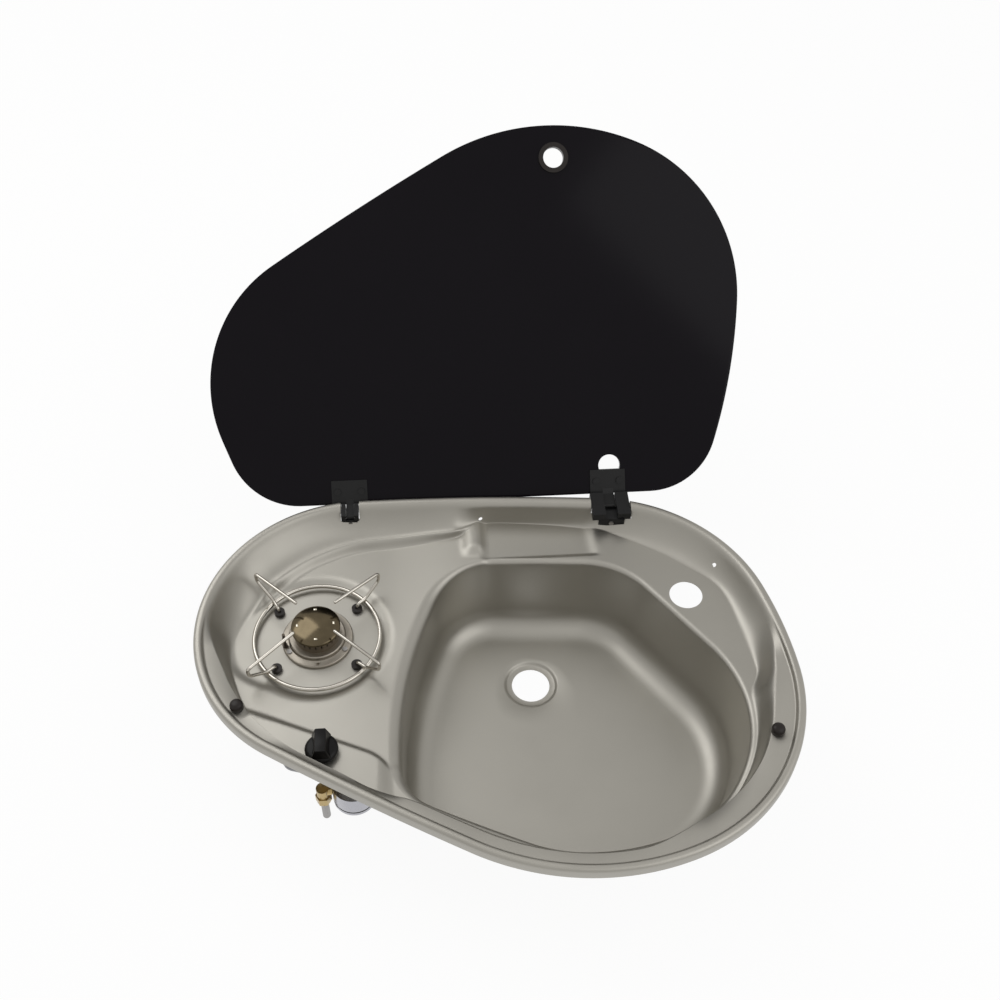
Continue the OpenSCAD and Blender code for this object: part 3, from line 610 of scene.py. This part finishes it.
def surface(name, light, dark, metallic, rough, cloud=9.0, grain=900.0, relief=0.02, specular=0.5):
    """A procedural material: two colours, low and high roughness, and the height of its grain in mm."""
    material = bpy.data.materials.new(name)
    material.use_nodes = True
    nodes, links = material.node_tree.nodes, material.node_tree.links
    shader = nodes["Principled BSDF"]
    effect = nodes.new("ShaderNodeGroup")
    effect.node_tree = bpy.data.node_groups["Satin"]
    effect.inputs["Light"].default_value = (*light, 1)
    effect.inputs["Dark"].default_value = (*dark, 1)
    effect.inputs["Cloud Scale"].default_value = cloud
    effect.inputs["Grain Scale"].default_value = grain
    effect.inputs["Rough Low"].default_value = rough[0]
    effect.inputs["Rough High"].default_value = rough[1]
    texture = nodes.new("ShaderNodeBump")
    texture.inputs["Strength"].default_value = 0.25
    texture.inputs["Distance"].default_value = relief * MM
    links.new(effect.outputs["Color"], shader.inputs["Base Color"])
    links.new(effect.outputs["Roughness"], shader.inputs["Roughness"])
    links.new(effect.outputs["Height"], texture.inputs["Height"])
    links.new(texture.outputs["Normal"], shader.inputs["Normal"])
    shader.inputs["Metallic"].default_value = metallic
    shader.inputs["Specular IOR Level"].default_value = specular
    return material


def make_materials():
    satin_group()
    return {
        "steel": surface("Satin steel", (0.45, 0.435, 0.395), (0.38, 0.365, 0.33), 1, (0.38, 0.5)),
        "glass": surface("Black glass", (0.006, 0.005, 0.007), (0.004, 0.003, 0.005), 0, (0.08, 0.13),
                         4, 300, 0, 0.1),
        "wire": surface("Bright wire", (0.72, 0.69, 0.63), (0.5, 0.47, 0.42), 1, (0.1, 0.18), 60,
                        relief=0.005),
        "brass_cap": surface("Dark brass", (0.2, 0.16, 0.1), (0.06, 0.048, 0.03), 1, (0.1, 0.2), 45,
                             relief=0.01),
        "flange": surface("Stained steel", (0.4, 0.37, 0.32), (0.28, 0.25, 0.21), 1, (0.3, 0.42), 40),
        "brass": surface("Brass", (0.55, 0.42, 0.2), (0.38, 0.28, 0.13), 1, (0.22, 0.36), 60),
        "chrome": surface("Bright plate", (0.5, 0.5, 0.53), (0.36, 0.36, 0.39), 1, (0.16, 0.28), 40),
        "plate": surface("Dull plate", (0.42, 0.41, 0.4), (0.3, 0.29, 0.28), 1, (0.35, 0.5), 50),
        "dark_plate": surface("Dark plate", (0.22, 0.22, 0.23), (0.12, 0.12, 0.125), 1, (0.16, 0.28), 50),
        "lug": surface("Bright lug", (0.8, 0.76, 0.66), (0.66, 0.6, 0.48), 1, (0.12, 0.2), 60),
        "probe": surface("Dark probe", (0.12, 0.1, 0.08), (0.05, 0.042, 0.035), 1, (0.3, 0.42), 60),
        "cast": surface("Cast alloy", (0.26, 0.22, 0.17), (0.15, 0.125, 0.095), 1, (0.4, 0.6), 70, 500,
                        0.05),
        "paint": surface("Black paint", (0.013, 0.013, 0.014), (0.008, 0.008, 0.008), 0, (0.3, 0.45),
                         50, 700, 0.03, 0.25),
        "plastic": surface("Black plastic", (0.009, 0.008, 0.008), (0.005, 0.005, 0.005), 0,
                           (0.26, 0.38), 40, specular=0.18),
        "rubber": surface("Black rubber", (0.016, 0.011, 0.009), (0.009, 0.007, 0.006), 0, (0.3, 0.45),
                          60, 800, 0.04, 0.3),
    }


# Which nodes of the frame have each finish
FINISHES = {
    "steel": ("tray_rim", "tray", "bowl"),
    "glass": ("glass_lid",),
    "wire": ("pan_support",),
    "brass_cap": ("burner_cap",),
    "flange": ("burner_flange",),
    "brass": ("injector", "gas_tap", "spindle", "inlet_elbow", "inlet_nut", "burner_pipe_nuts"),
    "chrome": ("tap_nut", "governor_housing", "governor_cover"),
    "plate": ("hinge_pins", "bracket_screws", "flange_screws", "mixing_cup", "tap_spring", "push_rod",
              "governor_bracket", "inlet_pipe", "burner_pipe"),
    "dark_plate": ("magnet_unit",),
    "probe": ("thermocouple",),
    "cast": ("burner_head",),
    "paint": ("hinge_bracket_left", "hinge_bracket_right", "hinge_arm_left", "hinge_arm_right",
              "clamp_plates", "clamp_screws"),
    "plastic": ("knob",),
    "rubber": ("rim_seal", "lid_bumpers", "support_grommets", "governor_gasket", "finger_grommet"),
}
MATERIALS = {}


class TraySettings(bpy.types.PropertyGroup):
    """Sizes of the pressed tray."""

    sheet: bpy.props.FloatProperty(
        name="Sheet", description="Thickness of the steel sheet",
        default=0.8 * MM, min=0.0005, max=0.002, unit="LENGTH")


class WireSettings(bpy.types.PropertyGroup):
    """Wire sizes of the pan support."""

    arm: bpy.props.FloatProperty(
        name="Arm wire", description="Radius of the arms' wire",
        default=1.75 * MM, min=0.001, max=0.003, unit="LENGTH")
    ring: bpy.props.FloatProperty(
        name="Ring wire", description="Radius of the ring's wire",
        default=2.25 * MM, min=0.001, max=0.004, unit="LENGTH")


class StageSettings(bpy.types.PropertyGroup):
    """Light and floor around the object."""

    floor_shade: bpy.props.FloatVectorProperty(
        name="Floor", description="Colour of the floor",
        size=3, default=(0.9, 0.9, 0.9), subtype="COLOR", min=0, max=1)
    lamp_power: bpy.props.FloatProperty(
        name="Lamp", description="Power of the large lamp",
        default=8.0, min=0, subtype="POWER")


class HOBSINK_OT_finishes(bpy.types.Operator):
    """Gives every CAD piece its finish"""

    bl_idname = "hobsink.finishes"
    bl_label = "Finishes"

    def execute(self, context):
        MATERIALS.update(make_materials())
        for finish, nodes in FINISHES.items():
            for node in nodes:
                mesh = frame["nodes"][node].data
                mesh.materials.clear()
                mesh.materials.append(MATERIALS[finish])
        return {"FINISHED"}


class HOBSINK_OT_tray(bpy.types.Operator):
    """Presses the tray, rim, ledge, decks and bowl in one sheet, and cuts its holes and notches"""

    bl_idname = "hobsink.tray"
    bl_label = "Tray"

    def execute(self, context):
        bm = bmesh.new()
        stack_rings(bm, tray_rings())
        obj = finish_mesh(bm, "pressed_tray", MATERIALS["steel"], "base",
                          ["tray_rim", "tray", "bowl"], 60)
        wall = obj.modifiers.new("Sheet", "SOLIDIFY")
        wall.thickness = context.scene.hobsink_tray.sheet
        wall.offset = -1
        apply_modifiers(obj)
        holes = [((TAP[0], TAP[1], BACK), (0, 0, 1), TAP[2], 20),
                 ((CAP.x, CAP.y, DISH), (0, 0, 1), BURNER_HOLE, 10),
                 ((KNOB.x, KNOB.y, PANEL), (0, 0, 1), KNOB_HOLE, 10),
                 ((265, 131, BACK + 9), (0.94, 0.34, 0), FIXING_HOLE, 50),
                 ((-3, 210, BACK + 5), (0, 1, 0), FIXING_HOLE, 40)]
        holes += [((*round_cap(FOOT_AT, a), DISH), (0, 0, 1), FOOT_HOLE, 10) for a in FOOT_ANGLES]
        drill(obj, holes, 60)
        bm = bmesh.new()
        for x, width, near, far in NOTCHES:
            block(bm, (width, far - near, RIM + 2.5), (x, (near + far) / 2, (RIM + 1.5) / 2))
        cut_with(obj, bm)
        obj.data.set_sharp_from_angle(angle=math.radians(60))
        return {"FINISHED"}


class HOBSINK_OT_plates(bpy.types.Operator):
    """Lays the brackets' thin plates that close the notches under the hinges"""

    bl_idname = "hobsink.plates"
    bl_label = "Bracket plates"

    def execute(self, context):
        for side, deep in PLATE_DEPTHS:
            low, high = (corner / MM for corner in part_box("hinge_bracket_" + side))
            bm = bmesh.new()
            block(bm, (high.x - low.x - 0.2, deep, PLATE),
                  ((low.x + high.x) / 2, HINGE_AT.y / MM - deep / 2, -PLATE_DROP))
            finish_mesh(bm, "bracket_plate_" + side, MATERIALS["paint"], "base")
        return {"FINISHED"}


class HOBSINK_OT_support(bpy.types.Operator):
    """Bends the wires of the pan support"""

    bl_idname = "hobsink.support"
    bl_label = "Pan support"

    def execute(self, context):
        thin = context.scene.hobsink_wire.arm
        thick = context.scene.hobsink_wire.ring
        ring_z = DISH + thick / MM + 3.2
        over = ring_z + (thick + thin) / MM - 0.4
        bm = bmesh.new()
        made = bmesh.ops.create_circle(bm, segments=20, radius=thick,
                                       matrix=Matrix.Rotation(math.pi / 2, 4, "X"))["verts"]
        bmesh.ops.translate(bm, vec=Vector((CAP.x + HOOP_AT, CAP.y, ring_z)) * MM, verts=made)
        hoop = made + list({e for v in made for e in v.link_edges})
        bmesh.ops.spin(bm, geom=hoop, cent=Vector((CAP.x, CAP.y, 0)) * MM, axis=(0, 0, 1),
                       angle=math.tau, steps=128, use_merge=True)
        middle = Vector((CAP.x, CAP.y, 0))
        for arm, foot, far in zip(ARM_ANGLES, FOOT_ANGLES, ARM_REACHES):
            out = Vector((*round_cap(1, arm), 0)) - middle
            base = Vector((*round_cap(FOOT_AT, foot), 0))
            path = [middle + out * ARM_TIP + Vector((0, 0, RIM + 0.5)),
                    middle + out * far + Vector((0, 0, RIM - 4.4)),
                    middle + out * (far - 1) + Vector((0, 0, RIM - 16)),
                    middle + out * ARM_BEND + Vector((0, 0, over)),
                    base + out * 1.5 + Vector((0, 0, over - 0.4)),
                    base + Vector((0, 0, DISH + 1.4))]
            wire(bm, bent(path, WIRE_BEND), thin / MM, Vector((-out.y, out.x, 0)))
        finish_mesh(bm, "pan_support_wires", MATERIALS["wire"], "support",
                    ["pan_support"], 60)
        return {"FINISHED"}


class HOBSINK_OT_burner(bpy.types.Operator):
    """Turns the burner's cap with its lugs, and its flange"""

    bl_idname = "hobsink.burner"
    bl_label = "Burner"

    def execute(self, context):
        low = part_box("burner_cap")[0].z / MM + 3
        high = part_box("burner_cap")[1].z / MM
        at = (CAP.x, CAP.y)
        turns = [math.radians(9 * k) for k in range(9)]
        dome = [(CAP_RADIUS * math.sin(turn), low + 3 + (high - low - 3.6) * math.cos(turn) ** 1.6)
                for turn in turns]
        bm = bmesh.new()
        lathe(bm, [*dome, (24.6, low + 3.4), (CAP_RADIUS, low + 2.8), (CAP_RADIUS, low + 0.5),
                   (24.6, low), (13.4, low), (13.4, low - 2.6), (13, low - 3), (0, low - 3)], at)
        finish_mesh(bm, "cap_turned", MATERIALS["brass_cap"], "cap", ["burner_cap"], 35)
        bm = bmesh.new()
        for k in range(4):
            angle = 90 * k + 2
            lug = block(bm, LUG_SIZE, (*round_cap(LUG_AT, angle), low + 5), angle)
            bmesh.ops.bevel(bm, geom=list({e for v in lug for e in v.link_edges}), offset=0.5 * MM,
                            offset_type="OFFSET", affect="EDGES", segments=3, profile=0.5, material=-1)
        finish_mesh(bm, "cap_lugs", MATERIALS["lug"], "cap", [], 35)
        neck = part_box("burner_flange")[1].z / MM
        bm = bmesh.new()
        lathe(bm, [(FLANGE_BORE, DISH), (36, DISH), (36.5, DISH + 0.5), (36.5, DISH + 2.7),
                   (35.7, DISH + 3.5), (31.5, DISH + 3.5), (29.6, DISH + 4.2), (29, DISH + 5.6),
                   (29, neck - 1), (28, neck), (FLANGE_BORE, neck), (FLANGE_BORE, DISH)], at)
        flange = finish_mesh(bm, "flange_pressed", MATERIALS["flange"], "base",
                             ["burner_flange"], 35)
        drill(flange, [((*round_cap(FLANGE_HOLE_AT, -88), DISH + 3.5), (0, 0, 1), FLANGE_HOLE, 4)], 35)
        return {"FINISHED"}


class HOBSINK_OT_knob(bpy.types.Operator):
    """Moulds the control knob and the lid bumpers"""

    bl_idname = "hobsink.knob"
    bl_label = "Knob and bumpers"

    def execute(self, context):
        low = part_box("knob")[0].z / MM
        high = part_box("knob")[1].z / MM
        at = (KNOB.x, KNOB.y)
        bm = bmesh.new()
        lathe(bm, [(0, low + 3.6), (11, low + 3.6), (11, low + 0.2), (11.2, low), (15.6, low),
                   (16, low + 0.5), (16, low + 2.6), (15.3, low + 3.6), (13.8, low + 4.8),
                   (12.6, low + 5.4), (0, low + 5.6)], at)
        grip = bmesh.ops.create_cube(bm, size=1)["verts"]
        rungs = list({e for v in grip for e in v.link_edges
                      if abs(e.verts[0].co.y - e.verts[1].co.y) > 0.5})
        bmesh.ops.subdivide_edges(bm, edges=rungs, cuts=15, use_grid_fill=True)
        # The grip is still a cube of one metre here, which tells its vertices from the dial's
        bar = [v for v in bm.verts if abs(v.co.z) > 0.499]
        for v in bar:
            along = v.co.y * 2
            top = v.co.z > 0
            half = 5.6 - 0.7 * along * along if top else 7.6 + 2.2 * along * along
            height = high - 1.6 * (1 - along * along) if top else low + 4.6
            v.co = Vector((at[0] + math.copysign(half, v.co.x),
                           at[1] + along * (12.6 if top else 13.4), height)) * MM
        sharp = [e for e in {e for v in bar for e in v.link_edges} if len(e.link_faces) == 2
                 and e.calc_face_angle(0) > 0.6]
        bmesh.ops.bevel(bm, geom=sharp, offset=1.1 * MM, offset_type="OFFSET", affect="EDGES", segments=4,
                        profile=0.5, material=-1, clamp_overlap=True)
        finish_mesh(bm, "knob_moulded", MATERIALS["plastic"], "turned", ["knob"], 35)
        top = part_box("lid_bumpers")[1].z / MM
        bm = bmesh.new()
        for centre in BUMPERS:
            lathe(bm, [(0, LEDGE), (6.3, LEDGE), (6.6, LEDGE + 0.3), (6.6, top - 4), (6, top - 2),
                       (4.6, top - 0.7), (2.4, top - 0.1), (0, top)], centre, 48)
        finish_mesh(bm, "bumpers_moulded", MATERIALS["rubber"], "base", ["lid_bumpers"], 50)
        return {"FINISHED"}


class HOBSINK_OT_glass(bpy.types.Operator):
    """Cuts and drills the glass lid and opens it"""

    bl_idname = "hobsink.glass"
    bl_label = "Glass lid"

    def execute(self, context):
        bm = bmesh.new()
        rings = [offset_ring(LID_REACH, inset, GLASS + height) for inset, height in GLASS_EDGE]
        first, last = stack_rings(bm, rings)
        bm.faces.new(first)
        bm.faces.new(last)
        obj = finish_mesh(bm, "glass_pane", MATERIALS["glass"], "lid", ["glass_lid"], 30)
        drill(obj, [((x, y, GLASS + GLASS_MIDDLE), (0, 0, 1), radius, 20)
                    for x, y, radius in (FINGER_HOLE, LIGHT_HOLE)], 30)
        opened = (Matrix.Translation(HINGE_AT) @ Matrix.Rotation(-LID_OPEN, 4, "X")
                  @ Matrix.Translation(-HINGE_AT))
        obj.data.transform(opened)
        return {"FINISHED"}


class HOBSINK_OT_edges(bpy.types.Operator):
    """Softens the edges of the small CAD pieces"""

    bl_idname = "hobsink.edges"
    bl_label = "Soft edges"

    def execute(self, context):
        for node in ("hinge_bracket_left", "hinge_bracket_right", "hinge_arm_left", "hinge_arm_right",
                     "clamp_plates", "clamp_screws", "governor_housing", "governor_cover", "inlet_nut",
                     "inlet_elbow", "tap_nut", "magnet_unit", "finger_grommet", "support_grommets"):
            soft = frame["nodes"][node].modifiers.new("Soft", "BEVEL")
            soft.width = 0.35 * MM
            soft.segments = 2
            soft.limit_method = "ANGLE"
            soft.angle_limit = math.radians(50)
            soft.use_clamp_overlap = True
        return {"FINISHED"}


def place_camera(scene):
    """Stands the camera where the photograph was taken from."""
    down, turn, roll = (math.radians(a) for a in (CAMERA_DOWN, CAMERA_TURN, CAMERA_ROLL))
    ahead = Vector((math.sin(turn) * math.cos(down), math.cos(turn) * math.cos(down), -math.sin(down)))
    right = Vector((math.cos(turn), -math.sin(turn), 0))
    up = right.cross(ahead)
    across = right * math.cos(roll) + up * math.sin(roll)
    above = up * math.cos(roll) - right * math.sin(roll)
    data = bpy.data.cameras.new("camera")
    data.lens = LENS
    data.sensor_width = 36
    data.clip_start = 0.01
    data.clip_end = 50
    camera = bpy.data.objects.new("camera", data)
    scene.collection.objects.link(camera)
    turned = Matrix((across, above, -ahead)).transposed().to_4x4()
    camera.matrix_world = Matrix.Translation((Vector(CAMERA_AT) + Vector((0, 0, RIM))) * MM) @ turned
    scene.camera = camera


def floor_material(shade):
    """A floor that the camera and the metal see nearly white, and that keeps the object's shadow."""
    material = bpy.data.materials.new("Floor")
    material.use_nodes = True
    nodes, links = material.node_tree.nodes, material.node_tree.links
    nodes.clear()
    diffuse = nodes.new("ShaderNodeBsdfDiffuse")
    diffuse.inputs["Color"].default_value = (*shade, 1)
    glow = nodes.new("ShaderNodeEmission")
    path = nodes.new("ShaderNodeLightPath")
    seen = nodes.new("ShaderNodeMath")
    seen.operation = "MAXIMUM"
    share = nodes.new("ShaderNodeMath")
    share.operation = "MULTIPLY"
    share.inputs[1].default_value = FLOOR_GLOW
    mix = nodes.new("ShaderNodeMixShader")
    out = nodes.new("ShaderNodeOutputMaterial")
    links.new(path.outputs["Is Camera Ray"], seen.inputs[0])
    links.new(path.outputs["Is Glossy Ray"], seen.inputs[1])
    links.new(seen.outputs[0], share.inputs[0])
    links.new(share.outputs[0], mix.inputs[0])
    links.new(diffuse.outputs[0], mix.inputs[1])
    links.new(glow.outputs[0], mix.inputs[2])
    links.new(mix.outputs[0], out.inputs[0])
    return material


class HOBSINK_OT_stage(bpy.types.Operator):
    """Sets the camera, the lamps and a pale floor"""

    bl_idname = "hobsink.stage"
    bl_label = "Stage"

    def execute(self, context):
        scene = context.scene
        place_camera(scene)
        scene.view_settings.view_transform = "Standard"
        bm = bmesh.new()
        bmesh.ops.create_grid(bm, x_segments=1, y_segments=1, size=FLOOR_HALF)
        bmesh.ops.translate(bm, vec=(0, 0, CAD_BOX[0][2] - MM), verts=bm.verts)
        mesh = bpy.data.meshes.new("floor")
        bm.to_mesh(mesh)
        bm.free()
        mesh.materials.append(floor_material(scene.hobsink_stage.floor_shade))
        floor = bpy.data.objects.new("floor", mesh)
        scene.collection.objects.link(floor)
        world = bpy.data.worlds.new("studio")
        world.use_nodes = True
        sky = world.node_tree.nodes["Background"]
        sky.inputs["Color"].default_value = (*WORLD_SHADE, 1)
        sky.inputs["Strength"].default_value = WORLD_STRENGTH
        scene.world = world
        for name, at, size, share in LAMPS:
            lamp = bpy.data.lights.new(name, "AREA")
            lamp.size = size
            lamp.energy = scene.hobsink_stage.lamp_power * share
            obj = bpy.data.objects.new(name, lamp)
            scene.collection.objects.link(obj)
            obj.location = at
            obj.rotation_euler = (Vector((0, 0, 0)) - Vector(at)).to_track_quat("-Z", "Y").to_euler()
        return {"FINISHED"}


# The operators in the order in which they run
OPERATORS = (HOBSINK_OT_finishes, HOBSINK_OT_tray, HOBSINK_OT_plates, HOBSINK_OT_support,
             HOBSINK_OT_burner, HOBSINK_OT_knob, HOBSINK_OT_glass, HOBSINK_OT_edges, HOBSINK_OT_stage)


class HOBSINK_PT_panel(bpy.types.Panel):
    """Lists the steps and the settings in the sidebar"""

    bl_idname = "HOBSINK_PT_panel"
    bl_label = "Hob and Sink"
    bl_space_type = "VIEW_3D"
    bl_region_type = "UI"
    bl_category = "Hob and Sink"

    def draw(self, context):
        scene = context.scene
        for operator in OPERATORS:
            self.layout.operator(operator.bl_idname)
        self.layout.prop(scene.hobsink_tray, "sheet")
        self.layout.prop(scene.hobsink_wire, "arm")
        self.layout.prop(scene.hobsink_wire, "ring")
        self.layout.prop(scene.hobsink_stage, "floor_shade")
        self.layout.prop(scene.hobsink_stage, "lamp_power")


CLASSES = (TraySettings, WireSettings, StageSettings, *OPERATORS, HOBSINK_PT_panel)


def register():
    for cls in CLASSES:
        bpy.utils.register_class(cls)
    bpy.types.Scene.hobsink_tray = bpy.props.PointerProperty(type=TraySettings)
    bpy.types.Scene.hobsink_wire = bpy.props.PointerProperty(type=WireSettings)
    bpy.types.Scene.hobsink_stage = bpy.props.PointerProperty(type=StageSettings)


def unregister():
    del bpy.types.Scene.hobsink_stage
    del bpy.types.Scene.hobsink_wire
    del bpy.types.Scene.hobsink_tray
    for cls in reversed(CLASSES):
        bpy.utils.unregister_class(cls)


def main():
    register()
    bpy.ops.hobsink.finishes()
    bpy.ops.hobsink.tray()
    bpy.ops.hobsink.plates()
    bpy.ops.hobsink.support()
    bpy.ops.hobsink.burner()
    bpy.ops.hobsink.knob()
    bpy.ops.hobsink.glass()
    bpy.ops.hobsink.edges()
    bpy.ops.hobsink.stage()


if __name__ == "__main__":
    main()
